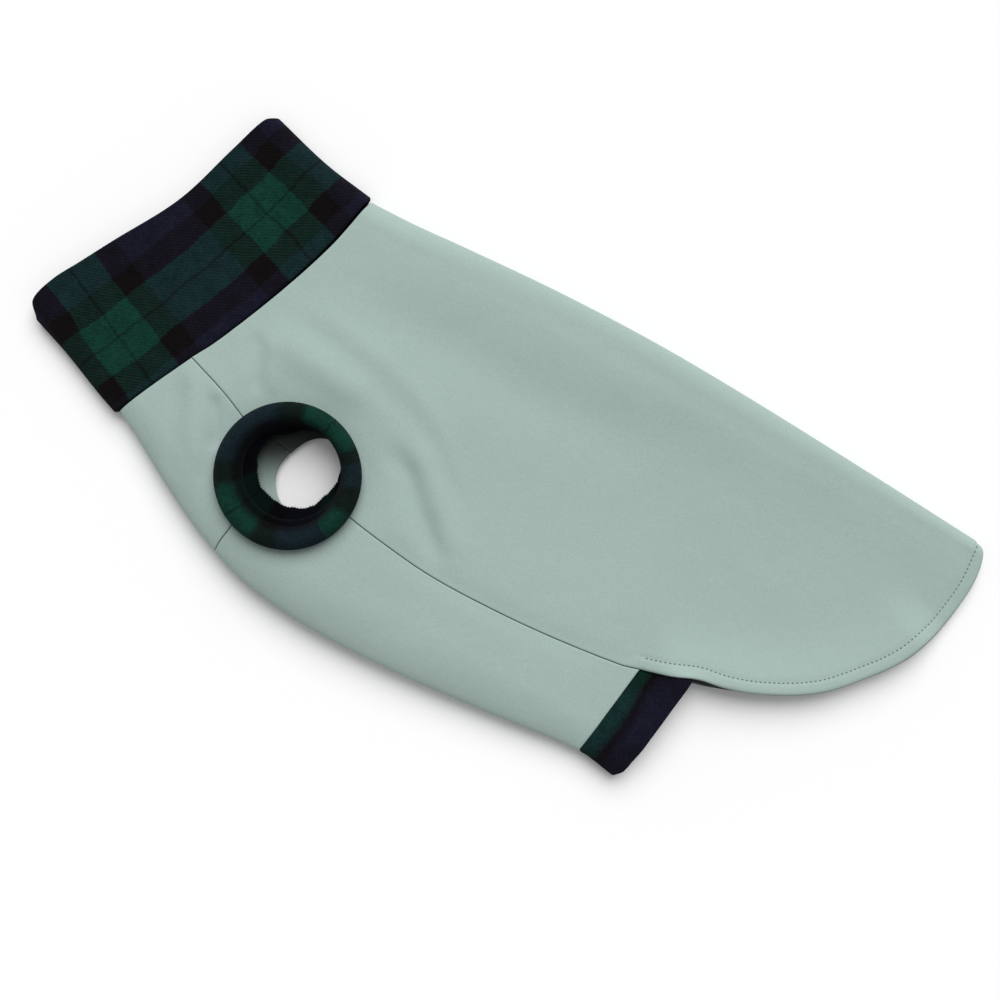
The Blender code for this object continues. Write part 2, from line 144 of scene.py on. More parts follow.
# Folds in the near half, from the collar to the tail. The deepest are in the part as well.
# A fold dies away at its ends, over a share of its length
Fold = namedtuple("Fold", "half_width height line taper", defaults=(0.25,))
FOLDS = (
    # along the back, over the ribs
    Fold(8, -0.6, ((-124, 93), (-100, 96), (-50, 100), (0, 102), (60, 102), (110, 101))),
    Fold(15, 0.7, ((-142, 60), (-100, 76), (-50, 77), (-4, 76), (42, 80), (90, 80))),
    Fold(14, -0.8, ((-144, 36), (-100, 51), (-50, 52), (-4, 52), (42, 56), (90, 56))),
    # over the armhole, from the collar to the side
    Fold(6, 0.6, ((-150, 36), (-114, 35), (-75, 29), (-52, 22), (-26, 7), (4, -20))),
    Fold(6.5, -0.6, ((-148, 24), (-114, 23), (-75, 16), (-46, 8), (-24, -6), (6, -28))),
    Fold(10, 1.9, ((-150, 13), (-126, 11), (-104, 9), (-86, 6), (-72, 3))),
    # from the armhole down to the side seam
    Fold(7, -2.4, ((-58, -4), (-50, -11), (-37, -19), (-24, -31), (-10, -43), (6, -58))),
    Fold(7.5, 1.7, ((-52, 3), (-43, -3), (-30, -11), (-16, -23), (-3, -35), (14, -52))),
    # the band's free edge, standing off the far half
    Fold(12, 4.5, ((157, -34), (158, -46), (157, -62), (155, -80), (154, -98)), 0.18),
    # the hem, lifted off the far half
    Fold(22, 5.8, ((130, -54), (176, -37), (203, -26), (228, -10), (250, 14), (268, 58)), 0.12),
    # into the side seam
    Fold(7, -0.9, ((-56, -52), (-35, -58), (-1, -61), (39, -61), (79, -58), (128, -50))),
    # beside the shoulder seam, and down the chest
    Fold(5, 0.8, ((-144, 14), (-139, 6), (-132, -7), (-125, -20))),
    Fold(5, -1.2, ((-150, 12), (-145, 3), (-138, -11), (-131, -24))),
    Fold(4, -1.8, ((-155, -30), (-150, -39), (-142, -52), (-139, -64))),
    Fold(5.5, 1.3, ((-177, -20), (-170, -28), (-159, -47), (-148, -65), (-137, -78))),
    Fold(6, -1.0, ((-178, -30), (-173, -38), (-166, -59), (-157, -79), (-149, -88))),
)
FOLD_STEPS = 24

BACK_SLACK, BELLY_SLACK = 0.3, 0.3          # how much flatter than round the folded edges are

# Turned hem: its width, the stitch line's distance from the edge, how much thicker it is on the
# inside, and how much of that shows as a rise outside
HEM_WIDTH, STITCH_LINE, HEM_EXTRA, HEM_RAISE = 8.5, 7.0, 0.8, 0.27
HEM_DROOP, HEM_DROOP_WIDTH = 1.0, 2.4        # how far the hem's very edge turns down
HEM_STEPS, FINE_STEPS = 120, 300             # points along the hem's line
# By the band, the far hem shows below the near one: how far out, and from where to where in x
PEEK, PEEK_FROM, PEEK_TO, PEEK_RUN = 3.3, 138.0, 222.0, 20.0
DRAWN_IN, DRAWN_AT, DRAWN_WIDTH = 1.7, 160.0, 11.0     # where the near hem bends in, in x
STITCH_PITCH, STITCH_LENGTH, THREAD = 2.6, 1.6, 0.7
STITCH_DIP, STITCH_DIP_WIDTH = 0.55, 1.15    # the groove that they draw
STITCH_SINK, STITCH_RINGS = 0.3, 7
STITCH_BEND, STITCH_STOP = 90.0, 1.5         # where they turn straight to the fold, and stop short
TUBE_SIDES = 6
# Puckers along sewn edges: height, spacing, reach inwards and lean. Then the length over which
# their height drifts, where that starts, and the share of the height that stays
PUCKER, PUCKER_PITCH, PUCKER_REACH, PUCKER_LEAN = 0.10, 9.0, 5.0, 0.35
PUCKER_DRIFT, PUCKER_DRIFT_TURN, PUCKER_STEADY = 33.3, 1.3, 0.6

# Tartan. The sett is counted in mm from the centre of a green block, and repeats either way.
SETT = 108.0
Band = namedtuple("Band", "start colour")
SETT_BANDS = (
    Band(0.0, (0.0030, 0.0110, 0.0082)),
    Band(0.8, (0.0044, 0.0310, 0.0218)),
    Band(16.8, (0.0041, 0.0026, 0.0028)),
    Band(31.0, (0.0074, 0.0073, 0.0165)),
)
# A trim's weave: its twill's contrast, how much of the colour across shows, how far a stripe's
# edge fades and its threads stray, its tone, and the painted shade on it inside a leg hole, that
# stands in for the shadow there
Weave = namedtuple("Weave", "twill balance fade fray tone inside")
COLLAR_WEAVE = Weave(0.17, 0.5, 0.9, 0.5, 1.0, 1.0)
BAND_WEAVE = Weave(0.08, 0.66, 10.0, 1.5, 1.0, 1.0)
# The cuff's inside share is painted shade inside the leg hole
CUFF_WEAVE = Weave(0.04, 0.34, 4.5, 0.8, 0.92, 0.2)
WANDER, WANDER_SIZE = 0.9, 22.0              # how far stripes stray from their lines
TWILL_PITCH = 2.3
TWILL_RIB = 0.0003           # the ribs' height in metres, for full contrast
# On the collar, stripes bend round this far point, and a green block is at this place
STRIPE_CENTRE, STRIPE_RADIUS = (-983.0, 310.0), 838.8
BLOCK_AT = -242.9
ACROSS_SCALE = 0.92          # the sett is a little closer across the collar
# On the band and the cuffs: places along or across, and the sett's place there. The band is
# measured from its upper end and its seam, in mm, and a cuff in degrees and from its inner edge
Place = namedtuple("Place", "at sett")
BAND_ALONG = (
    Place(0, 18), Place(10, 26), Place(16, 34), Place(38, 50), Place(52, 74), Place(70, 82),
)
BAND_ACROSS = (Place(0, 5), Place(9.4, 16.8), Place(14, 31), Place(20, 40), Place(28, 48))
CUFF_ROUND = (
    Place(-57, 5), Place(-32, 16.8), Place(-10, 31), Place(10, 77), Place(22, 91.2),
    Place(48, 108), Place(213, 216), Place(303, 275),
)
CUFF_ACROSS = (Place(0, 48), Place(8, 31), Place(14, 16.8), Place(29.4, 2))
CUFF_SEAM_AT, PAST_SEAM = -57.0, 0.001      # the first column lies this far past it, in radians
CUFF_COLUMNS, CUFF_ROWS_APART = 240, 0.7
# Creases round the near cuff's inner wall, where its roll meets the seam: how far along from the
# inner edge, width and depth, and the stretch in degrees that they fill
Crease = namedtuple("Crease", "at width depth start end")
CUFF_CREASES = (
    Crease(11.4, 1.3, 0.9, 190, 350),
    Crease(8.8, 1.2, -0.8, 200, 340),
    Crease(6.2, 1.1, 0.8, 210, 320),
)
CREASE_FADE = 30             # degrees over which a crease dies away
# How the near cuff's inner edge strays from a circle: waves round it, height and turn
Wave = namedtuple("Wave", "count height turn")
CUFF_WAVES = (
    Wave(3, 0.45, 0.6), Wave(5, 0.4, 2.1), Wave(9, 0.25, 0.3), Wave(17, 0.18, 1.7),
    Wave(31, 0.1, 0.2),
)
WAVE_FADE = 9.0
# Towards the back, the near cuff's inner wall hangs into the hole, its dark cloth standing in
# for part of the shade there: in, down, bearing and width
HANG_IN, HANG_DOWN, HANG_AT, HANG_WIDTH, HANG_FADE = 5.0, 4.0, 103.0, 48.0, 13.0
# DARK_TO and LIGHT_FROM bound the painted shade inside the leg hole on a cuff
DARK_TO, LIGHT_FROM = 10.0, 19.5             # where a cuff's shade changes, from its inner edge
# Painted shade on the far half inside the hole, standing in for the shadow there: how far round
# the hole it reaches, over what width it fades and how high it goes, and where it grows, upwards
# in the camera's view from its middle
SHADED_ROUND, SHADED_FADE, SHADED_BELOW = 46.0, 6.0, 8.0
SHADE_FROM, SHADE_TO, SHADED = 0.0, 32.0, 0.95
# Painted shade along the near hem's edge, standing in for the shadow under it: how strong, and
# how wide. Painted shade on the far hem beside it, standing in for the shadow under the near hem:
# how strong, how far out it goes and over what width it fades, and how fast it comes in
HEM_SHADE, HEM_SHADE_WIDTH = 0.45, 0.8
PEEK_SHADE, PEEK_SHADE_TO, PEEK_SHADE_FADE, PEEK_SHADE_RISE = 0.85, 3.0, 0.8, 4.0
FAR_TOP = 3.5                                # the far hem lies below this height
# How far the far armhole's edge is drawn in, towards this bearing from its centre in degrees
FLATTENED, FLATTENED_AT, FLATTENED_WIDTH = 2.2, 158.0, 28.0
# Overlock thread on the cuff's sewn-in edge
SERGE_TURNS, SERGE_STEPS, SERGE_ROW = 90, 14, 6
SERGE_WIDE, SERGE_DEEP, SERGE_OVER, SERGE_THREAD = 1.6, 1.5, 0.5, 0.35

Finish = namedtuple("Finish", "roughness specular sheen sheen_roughness sheen_tint")
SOFTSHELL_FINISH = Finish(0.85, 0.2, 0.2, 0.5, (0.8, 0.9, 0.85))
TARTAN_FINISH = Finish(0.95, 0.02, 0.03, 0.6, (0.6, 0.7, 0.75))
SAGE_THREAD_FINISH = Finish(0.6, 0.4, 0.1, 0.4, (1, 1, 1))
NAVY_THREAD_FINISH = Finish(0.6, 0.05, 0.0125, 0.4, (1, 1, 1))
PAPER_FINISH = Finish(1.0, 0.0, 0.0, 0.5, (1, 1, 1))
SAGE = (0.3, 0.385, 0.358)
SAGE_THREAD = (0.14, 0.19, 0.175)
NAVY_THREAD = (0.003, 0.004, 0.006)
FLOOR_TONE, FLOOR_SIDE = 0.86, 6000.0
# Light: the key's strength, softness, height and bearing in degrees, and the fill from all round
KEY, KEY_ANGLE, KEY_HEIGHT, KEY_FROM = 3.1, 54.0, 48.0, 105.5
FILL = 0.43

# Camera: straight over the coat, turned so that the neck is upper left
PHOTO_SIDE = 1000            # pixels
PHOTO_SCALE = 0.567          # mm a pixel at the height of the folded edges
FOLD_LEVEL = 5.0
CAMERA_OVER = (14.6, -5.7)
CAMERA_DISTANCE = 850.0
CAMERA_TURN = math.radians(29.5)
CAMERA_CLIP = (0.01, 20)     # metres


# ---- curves through the tables, for arrays of places

def smooth(places, values, at):
    """Values at places, on a smooth curve through values at rising places."""
    places, at = np.asarray(places, float), np.asarray(at, float)
    count = len(places)
    values = np.broadcast_to(np.reshape(values, (count, -1)), (count, at.size))
    flat = np.clip(at.ravel(), places[0], places[-1])
    i = np.clip(np.searchsorted(places, flat, side="right") - 1, 0, count - 2)
    k = np.arange(flat.size)
    before = np.maximum(np.arange(count) - 1, 0)
    after = np.minimum(np.arange(count) + 1, count - 1)
    slopes = (values[after] - values[before]) / (places[after] - places[before])[:, None]
    gap = places[i + 1] - places[i]
    t = (flat - places[i]) / gap
    result = (
        values[i, k] * (2 * t**3 - 3 * t**2 + 1) + slopes[i, k] * gap * (t**3 - 2 * t**2 + t)
        + values[i + 1, k] * (3 * t**2 - 2 * t**3) + slopes[i + 1, k] * gap * (t**3 - t**2)
    )
    return result.reshape(at.shape)


def unit(vectors):
    return vectors / np.linalg.norm(vectors, axis=-1, keepdims=True)


def sums(steps, axis=0):
    """The sums so far of steps, from 0."""
    return np.concatenate([np.zeros_like(steps.take([0], axis)), np.cumsum(steps, axis)], axis)


def travelled(points, axis=0):
    """The distance so far along each line of points."""
    return sums(np.linalg.norm(np.diff(points, axis=axis), axis=-1), axis)


def along(points, share):
    """Points at shares of the length of a smooth curve through (x, y) points."""
    points = np.asarray(points, float)
    places = travelled(points)
    at = np.asarray(share, float) * places[-1]
    return np.stack([smooth(places, points[:, k], at) for k in (0, 1)], axis=-1)


def outline_y(table, x):
    return smooth([p[0] for p in table], [p[1] for p in table], x)


def ease(t):
    """0 to 1 along a quarter of an ellipse that starts upright."""
    return np.sqrt(1 - (1 - np.clip(t, 0, 1)) ** 2)


def step(t):
    """0 to 1, flat at both ends."""
    t = np.clip(t, 0, 1)
    return t * t * (3 - 2 * t)


def all_round(count):
    return np.linspace(0, 2 * math.pi, count, endpoint=False)


def bell(away, width):
    """1 at 0, dying away over this width."""
    return np.exp(-((away / width) ** 2))


def column(table, name):
    return [getattr(row, name) for row in table]


# ---- the cloth's height, at its mid thickness

def to_line(points, x, y):
    """Distance from a line of points, and the place along it from 0 to 1."""
    points = np.asarray(points, float)
    best, place = np.full(x.shape, np.inf), np.zeros(x.shape)
    spans = len(points) - 1
    for k, (a, b) in enumerate(zip(points, points[1:])):
        run = b - a
        t = np.clip(((x - a[0]) * run[0] + (y - a[1]) * run[1]) / (run @ run), 0, 1)
        away = np.hypot(x - a[0] - t * run[0], y - a[1] - t * run[1])
        closer = away < best
        best, place = np.where(closer, away, best), np.where(closer, (k + t) / spans, place)
    return best, place


def fold_height(x, y):
    total = np.zeros(x.shape)
    for fold in FOLDS:
        fine = along(fold.line, np.linspace(0, 1, FOLD_STEPS))
        away, place = to_line(fine, x, y)
        dying = step(place / fold.taper) * step((1 - place) / fold.taper)
        total += fold.height * dying * bell(away, fold.half_width)
    return total


def lift(x, y):
    places = column(SECTIONS, "x")
    heights = [smooth(places, [s[k] for s in SECTIONS], x) for k in range(1, 6)]
    base = smooth([-line for line in LINES], heights, -y)
    hole = ARMHOLES[NEAR]
    away = np.hypot(x - hole.x, y - hole.y)
    dip = step((DIP_RADIUS - away) / (DIP_RADIUS - hole.seam_radius))
    return base + fold_height(x, y) - DIP_DEPTH * dip


def over_far_cuff(x, y):
    hole = ARMHOLES[FAR]
    away = np.hypot(x - hole.x, y - hole.y)
    return (TRIM_THICK + LAYER_GAP) * step((HELD_UP + LET_DOWN - away) / LET_DOWN)


# A cloth: its thickness, the two folds that bound it, whether its end is shifted to clear the
# hem, and whether its inner edges are open ones, not joined into a ring
Cloth = namedtuple("Cloth", "thick back belly shifted edged")
SHELL = Cloth(SHELL_THICK, BACK_FOLD, BELLY_FOLD, False, True)
BAND = Cloth(TRIM_THICK, BACK_FOLD, BELLY_FOLD, True, True)
COLLAR = Cloth(TRIM_THICK, COLLAR_BACK, COLLAR_FRONT, False, False)


def nearest_fold(cloth, x, y):
    from_back = outline_y(cloth.back, x) - y
    from_belly = y - outline_y(cloth.belly, x)
    at_back = from_back < from_belly
    found = [np.minimum(from_back, from_belly) - cloth.thick / 2]
    for name in ("height", "reach"):
        back = smooth(column(BACK_ROLL, "x"), column(BACK_ROLL, name), x)
        belly = smooth(column(BELLY_ROLL, "x"), column(BELLY_ROLL, name), x)
        found.append(np.where(at_back, back, belly))
    return *found, np.where(at_back, BACK_SLACK, BELLY_SLACK)


def on_cloth(cloth, side, points):
    """Points of the cloth's mid thickness over plan points."""
    x, y = points[..., 0], points[..., 1]
    inset, height, reach, slack = nearest_fold(cloth, x, y)
    if side == NEAR:
        z = lift(x, y)
    else:
        z = cloth.thick / 2 + over_far_cuff(x, y)
        reach, slack = FAR_REACH * height, 0
    t = np.clip(inset / reach, 0, 1)
    z = height + (z - height) * (ease(t) + slack * (np.sin(t * math.pi / 2) - ease(t)))
    if cloth.shifted:
        inward = step((x - SHIFT_FROM) / SHIFT_RUN) * step((y - SHIFT_Y_FROM) / SHIFT_Y_RUN)
        z = z + SHIFT[side] * inward
    return np.stack([x, y, z], axis=-1)


# ---- grids: rows along a fold, columns from the far inner edge over the fold to the near one

EDGE_TURN = (0, 0.08, 0.3, 0.62, 1.0)    # where a rounded edge has its rows, in half thicknesses
EDGE_RUN = (1.8, 2.8, 3.8, 4.6, 5.4, 6.2, 7.0, 7.8, 8.6, 9.6, 11)
EDGE_SHARE = 0.4             # the most of a run that they take up


def edge_places(thick):
    """Distances from a cloth edge at which the grid has rows."""
    return [place * thick / 2 for place in EDGE_TURN] + list(EDGE_RUN)


def shares(length, spacing, thick, start=False, end=False):
    """Shares of a run, evenly spaced, with close ones at an edge of the cloth."""
    close = np.array([place for place in edge_places(thick) if place < EDGE_SHARE * length])
    lead = close if start else np.array([0.0])
    tail = length - close[::-1] if end else np.array([length])
    count = max(int(round((tail[0] - lead[-1]) / spacing)), 1)
    middle = np.linspace(lead[-1], tail[0], count + 1)[1:-1]
    return np.concatenate([lead, middle, tail]) / length


# A run of a patch's inner edge: its curve on each side, and the stretch of the fold, in x, that
# it faces. A patch's inset is from the fold's outline to its mid thickness, start and end are the
# curves of its first and last row on each side, from the fold to the inner edge, and drawn is how
# far those rows are drawn back along X, for the seam gap
Run = namedtuple("Run", "inner fold_from fold_to")
Patch = namedtuple("Patch", "cloth table inset runs start end drawn")
SEAM_FADE = 12.0
LENGTH_STEPS, ARC_STEPS, BAND_STEPS = 200, 25, 12     # points along curves


def arc(side, start, end):
    """Points round an armhole's sewn edge."""
    hole = ARMHOLES[side]
    angles = np.linspace(start, end, ARC_STEPS)
    drawn_in = FLATTENED * bell(angles - FLATTENED_AT, FLATTENED_WIDTH) * (side == FAR)
    radius, angles = hole.seam_radius - drawn_in, np.radians(angles)
    return np.stack([hole.x + radius * np.cos(angles), hole.y + radius * np.sin(angles)], axis=-1)


def bow(curve, share):
    """How far a curve stands off the straight line between its ends."""
    first, last = np.asarray(curve[0], float), np.asarray(curve[-1], float)
    return along(curve, share) - (first + (last - first) * np.asarray(share)[..., None])


def plan_rows(patch, side, spacing):
    """Points by row on the fold and on one side's inner edge."""
    fold, inner = [], []
    for k, run in enumerate(patch.runs):
        first, last = k == 0, k == len(patch.runs) - 1
        length = travelled(along(run.inner[NEAR], np.linspace(0, 1, LENGTH_STEPS)))[-1]
        share = shares(length, spacing, patch.cloth.thick, first, last)
        share = share if first else share[1:]
        x = run.fold_from + (run.fold_to - run.fold_from) * share
        fold.append(np.stack([x, outline_y(patch.table, x) + patch.inset], axis=-1))
        inner.append(along(run.inner[side], share))
    fold, inner = np.concatenate(fold), np.concatenate(inner)
    for points in (fold, inner):
        place = travelled(points)
        points[:, 0] += patch.drawn[0] * (1 - step(place / SEAM_FADE))
        points[:, 0] += patch.drawn[1] * (1 - step((place[-1] - place) / SEAM_FADE))
    return fold, inner


def half_grid(patch, side, rows_apart, columns_apart, roll_steps):
    """Points of one side, row by row, from the fold to the inner edge."""
    fold, inner = plan_rows(patch, side, rows_apart)
    length = np.linalg.norm(inner - fold, axis=1)
    _, height, reach, _ = nearest_fold(patch.cloth, fold[:, 0], fold[:, 1])
    if side == FAR:
        reach = FAR_REACH * height
    reach = np.minimum(reach, length / 2)
    turn = 1 - np.cos(np.linspace(0, math.pi / 2, roll_steps + 1))
    roll = reach[:, None] * turn
    close = np.array(edge_places(patch.cloth.thick)) if patch.cloth.edged else np.zeros(1)
    close = close[close < EDGE_SHARE * length.min()]
    count = int(max((length - reach).max() / columns_apart, 4))
    middle = np.linspace(0, 1, count + 1)[1:-1]
    stop = length[:, None] - close[-1]
    rest = reach[:, None] + (stop - reach[:, None]) * middle
    edge = length[:, None] - close[::-1]
    share = np.concatenate([roll, rest, edge], axis=1) / length[:, None]
    row = np.linspace(0, 1, len(fold))[:, None, None]
    straight = fold[:, None] + (inner - fold)[:, None] * share[..., None]
    bowed = bow(patch.start[side], share) * (1 - row) + bow(patch.end[side], share) * row
    return straight + bowed


Grid = namedtuple("Grid", "points side")


def whole_grid(patch, rows_apart=2.4, columns_apart=2.4, far_apart=4.5, roll_steps=12):
    near = on_cloth(patch.cloth, NEAR, half_grid(patch, NEAR, rows_apart, columns_apart, roll_steps))
    far = on_cloth(patch.cloth, FAR, half_grid(patch, FAR, rows_apart, far_apart, roll_steps))
    points = np.concatenate([far[:, ::-1], near[:, 1:]], axis=1)
    side = np.concatenate([np.full(far.shape[1], FAR), np.full(near.shape[1] - 1, NEAR)])
    return Grid(points, side)


# ---- patches of the coat

def at_armhole(side, angle):
    return arc(side, angle, angle)[0]


def sides(build):
    return {side: build(side) for side in (NEAR, FAR)}


def both(curve):
    return sides(lambda side: curve)


def moved(build, dy):
    return sides(lambda side: np.asarray(build(side), float) + (0, dy))


def shoulder_run(dy):
    return moved(lambda side: [*SHOULDER_SEAM, at_armhole(side, SHOULDER_AT)], dy)


def side_run(dy):
    return moved(lambda side: [at_armhole(side, SIDE_AT), *SIDE_SEAM], dy)


def leg_run(start, end, dy):
    return moved(lambda side: arc(side, start, end), dy)


def peek(x):
    """How far the far hem shows below the near one, from 0 to 1."""
    return step((x - PEEK_FROM) / PEEK_RUN) * step((PEEK_TO - x) / (PEEK_TO - PEEK_FROM))


def hem_edge(side):
    points = along(HEM, np.linspace(0, 1, HEM_STEPS))
    x = points[:, 0]
    drawn_in = DRAWN_IN * bell(x - DRAWN_AT, DRAWN_WIDTH)
    points[:, 1] += drawn_in if side == NEAR else -PEEK * peek(x)
    return points


def back_patch():
    runs = (
        Run(shoulder_run(HALF_GAP), -132, -116),
        Run(leg_run(SHOULDER_AT, SIDE_AT, HALF_GAP), -116, 10),
        Run(side_run(HALF_GAP), 10, 145),
        Run(sides(hem_edge), 145, 262),
    )
    neck, tail = both(NECK_BACK), both(TAIL_HEM)
    return Patch(SHELL, BACK_FOLD, -HALF_SHELL, runs, neck, tail, (HALF_GAP, 0))


def chest_seam(side):
    return [*CHEST_SEAM, at_armhole(side, CHEST_AT)]


def chest_patch():
    runs = (
        Run(shoulder_run(-HALF_GAP), -197, -150),
        Run(leg_run(SHOULDER_AT, 360 + CHEST_AT, -HALF_GAP), -150, -111),
    )
    drawn = (HALF_GAP, -HALF_GAP)
    return Patch(SHELL, BELLY_FOLD, HALF_SHELL, runs, both(NECK_FRONT), sides(chest_seam), drawn)


def belly_patch():
    runs = (
        Run(leg_run(CHEST_AT, SIDE_AT, -HALF_GAP), -111, -30),
        Run(side_run(-HALF_GAP), -30, 123),
    )
    drawn = (HALF_GAP, -HALF_GAP)
    return Patch(SHELL, BELLY_FOLD, HALF_SHELL, runs, sides(chest_seam), both(BAND_SEAM), drawn)


def band_patch():
    x = np.linspace(BAND_SEAM[-1][0], BAND_EDGE[-1][0], BAND_STEPS)
    tuck = TUCK * step((x - TUCK_FROM) / TUCK_RUN) - SEAM_GAP
    run = Run(both(np.stack([x, outline_y(HEM, x) + tuck], axis=-1)), 123, 147.5)
    return Patch(BAND, BELLY_FOLD, HALF_TRIM, (run,), both(BAND_SEAM), both(BAND_EDGE), (HALF_GAP, 0))


def collar_patches():
    back, front = Run(both(COLLAR_SIDE), -133, -202), Run(both(COLLAR_SIDE), -198, -264)
    drawn = (-HALF_GAP, 0)
    return (
        Patch(COLLAR, COLLAR_BACK, -HALF_TRIM, (back,), both(NECK_BACK), both(MOUTH_BACK), drawn),
        Patch(COLLAR, COLLAR_FRONT, HALF_TRIM, (front,), both(NECK_FRONT), both(MOUTH_FRONT), drawn),
    )


# ---- cloth walls with rounded edges

def normals(points, closed):
    """At each point, the mean normal of the faces that meet there."""
    if closed:
        points = np.concatenate([points, points[:, :1]], axis=1)
    face = np.cross(points[1:, 1:] - points[:-1, :-1], points[1:, :-1] - points[:-1, 1:])
    if closed:
        face = np.concatenate([face[:, -1:], face], axis=1)
    face = np.pad(face, ((1, 1), (0, 0) if closed else (1, 1), (0, 0)))
    n = face[1:, 1:] + face[1:, :-1] + face[:-1, 1:] + face[:-1, :-1]
    return n / np.maximum(np.linalg.norm(n, axis=-1, keepdims=True), 1e-9)


def edge_distance(points, closed=False):
    """Distance along its row or column from each point to the piece's nearest edge."""
    away = [points[:1], points[-1:]]
    if not closed:
        away += [points[:, :1], points[:, -1:]]
    return np.min([np.linalg.norm(points - edge, axis=-1) for edge in away], axis=0)


def link(name, data):
    made = bpy.data.objects.new(name, data)
    bpy.context.scene.collection.objects.link(made)
    return made


def new_mesh(name, points, faces):
    """A smooth mesh of points in millimetres."""
    mesh = bpy.data.meshes.new(name)
    mesh.from_pydata((np.reshape(points, (-1, 3)) * MM).tolist(), [], faces)
    mesh.shade_smooth()
    return mesh


def quads(index, closed, flip):
    """Faces between the rows and columns of a grid of vertex numbers."""
    if closed:
        index = np.concatenate([index, index[:, :1]], axis=1)
    ring = [index[:-1, :-1], index[:-1, 1:], index[1:, 1:], index[1:, :-1]]
    return np.stack(ring[::-1] if flip else ring, axis=-1).reshape(-1, 4)


def wall(name, points, outward, outer, inner, closed=False, layers=()):
    """A cloth wall: a closed mesh this far out and in from a grid, with rounded edges.

    outward is 1 where the grid's normals point out of the coat, or -1. layers are names and UV
    places in millimetres, with a column more than the grid where the grid is closed.
    """
    rows, columns = points.shape[:2]
    out = normals(points, closed) * outward
    outer, inner = np.broadcast_to(outer, (rows, columns)), np.broadcast_to(inner, (rows, columns))
    half = (outer + inner) / 2
    full = ease(edge_distance(points, closed) / half)
    outside = points + out * ((outer - inner) / 2 + half * full)[..., None]
    inside = points + out * ((outer - inner) / 2 - half * full)[..., None]

    index = np.arange(rows * columns).reshape(rows, columns)
    rim = np.zeros((rows, columns), bool)
    rim[[0, -1]] = True
    if not closed:
        rim[:, [0, -1]] = True
    back = index.copy()
    back[~rim] = rows * columns + np.arange((~rim).sum())
    verts = np.concatenate([outside.reshape(-1, 3), inside[~rim]])
    faces = [quads(index, closed, outward < 0), quads(back, closed, outward > 0)]
    mesh = new_mesh(name, verts, np.concatenate(faces).tolist())
    for layer, uv in dict(layers).items():
        spots = np.arange(uv.shape[0] * uv.shape[1]).reshape(uv.shape[:2])
        corners = [quads(spots, False, outward < 0), quads(spots, False, outward > 0)]
        flat = uv.reshape(-1, 2)[np.concatenate(corners).ravel()] * MM
        mesh.uv_layers.new(name=layer).data.foreach_set("uv", flat.ravel())
    return link(name, mesh)


# ---- softshell panels

def pucker(points):
    """Small uneven waves, for a sewn edge."""
    place = points[..., 0] + PUCKER_LEAN * points[..., 1]
    wave = np.sin(2 * math.pi * place / PUCKER_PITCH)
    drift = np.sin(2 * math.pi * place / PUCKER_DRIFT + PUCKER_DRIFT_TURN)
    return PUCKER * wave * (PUCKER_STEADY + (1 - PUCKER_STEADY) * drift)


def puckered(grid):
    """The grid's points, with puckers along the near half's edges."""
    points = grid.points.copy()
    strength = bell(edge_distance(points), PUCKER_REACH) * (grid.side == NEAR)
    points[..., 2] += pucker(points) * strength
    return points


def painted_shade(piece, by_hem=False):
    """Give each vertex its share of light, with painted shade: less in the leg hole, and by the hem.
    """
    mesh, hole = piece.data, ARMHOLES[FAR]
    places = np.empty(3 * len(mesh.vertices))
    mesh.vertices.foreach_get("co", places)
    x, y, z = places.reshape(-1, 3).T / MM
    up = (y - CAMERA_OVER[1]) * math.cos(CAMERA_TURN) - (x - CAMERA_OVER[0]) * math.sin(CAMERA_TURN)
    deep = step((up - SHADE_FROM) / (SHADE_TO - SHADE_FROM))
    inside = step((SHADED_ROUND - np.hypot(x - hole.x, y - hole.y)) / SHADED_FADE)
    share = 1 - SHADED * deep * inside * (z < SHADED_BELOW)
    if by_hem:
        edge = to_line(hem_line(HEM_STEPS), x, y)[0]
        near = 1 - HEM_SHADE * (1 - step(edge / HEM_SHADE_WIDTH))
        shown = np.clip(PEEK_SHADE_RISE * peek(x), 0, 1) * (y < 0)
        far = 1 - PEEK_SHADE * shown * (1 - step((edge - PEEK_SHADE_TO) / PEEK_SHADE_FADE))
        share = share * np.where(z < FAR_TOP, far, near)
    light = mesh.attributes.new("light", "FLOAT", "POINT")
    light.data.foreach_set("value", share)
    return piece


def panel(name, patch, outward):
    return painted_shade(wall(name, puckered(whole_grid(patch)), outward, HALF_SHELL, HALF_SHELL))


def hem_line(steps):
    """The near hem's edge in plan, from the side seam round to the folded back."""
    tail = along(TAIL_HEM, np.linspace(1, 0, steps // 2))
    return np.concatenate([along(hem_edge(NEAR), np.linspace(0, 1, steps)), tail[1:]])


def stitch_path():
    """The stitches' line in plan, this far in from the hem and then straight to the fold."""
    hem = hem_line(FINE_STEPS)
    run = unit(np.gradient(hem, axis=0))
    path = hem + STITCH_LINE * np.stack([-run[:, 1], run[:, 0]], axis=-1)
    path, ahead = path[hem[:, 1] < STITCH_BEND], run[hem[:, 1] < STITCH_BEND][-1]
    left = outline_y(BACK_FOLD, path[-1:, 0]) - path[-1:, 1] - STITCH_STOP
    return np.concatenate([path, path[-1:] + ahead * left])


def back_panel():
    grid = whole_grid(back_patch())
    points = puckered(grid)
    from_hem = to_line(hem_line(HEM_STEPS), points[..., 0], points[..., 1])[0]
    turned = 1 - step((from_hem - STITCH_LINE) / (HEM_WIDTH - STITCH_LINE))
    droop = HEM_DROOP * (1 - np.clip(from_hem / HEM_DROOP_WIDTH, 0, 1)) ** 2
    points[..., 2] += (grid.side == NEAR) * (turned * HEM_RAISE - droop)
    from_stitches = to_line(stitch_path()[::3], points[..., 0], points[..., 1])[0]
    groove = STITCH_DIP * bell(from_stitches, STITCH_DIP_WIDTH)
    outer = HALF_SHELL - groove
    cloth = wall("back_cloth", points, 1, outer, outer + HEM_EXTRA * turned)
    return painted_shade(cloth, by_hem=True)


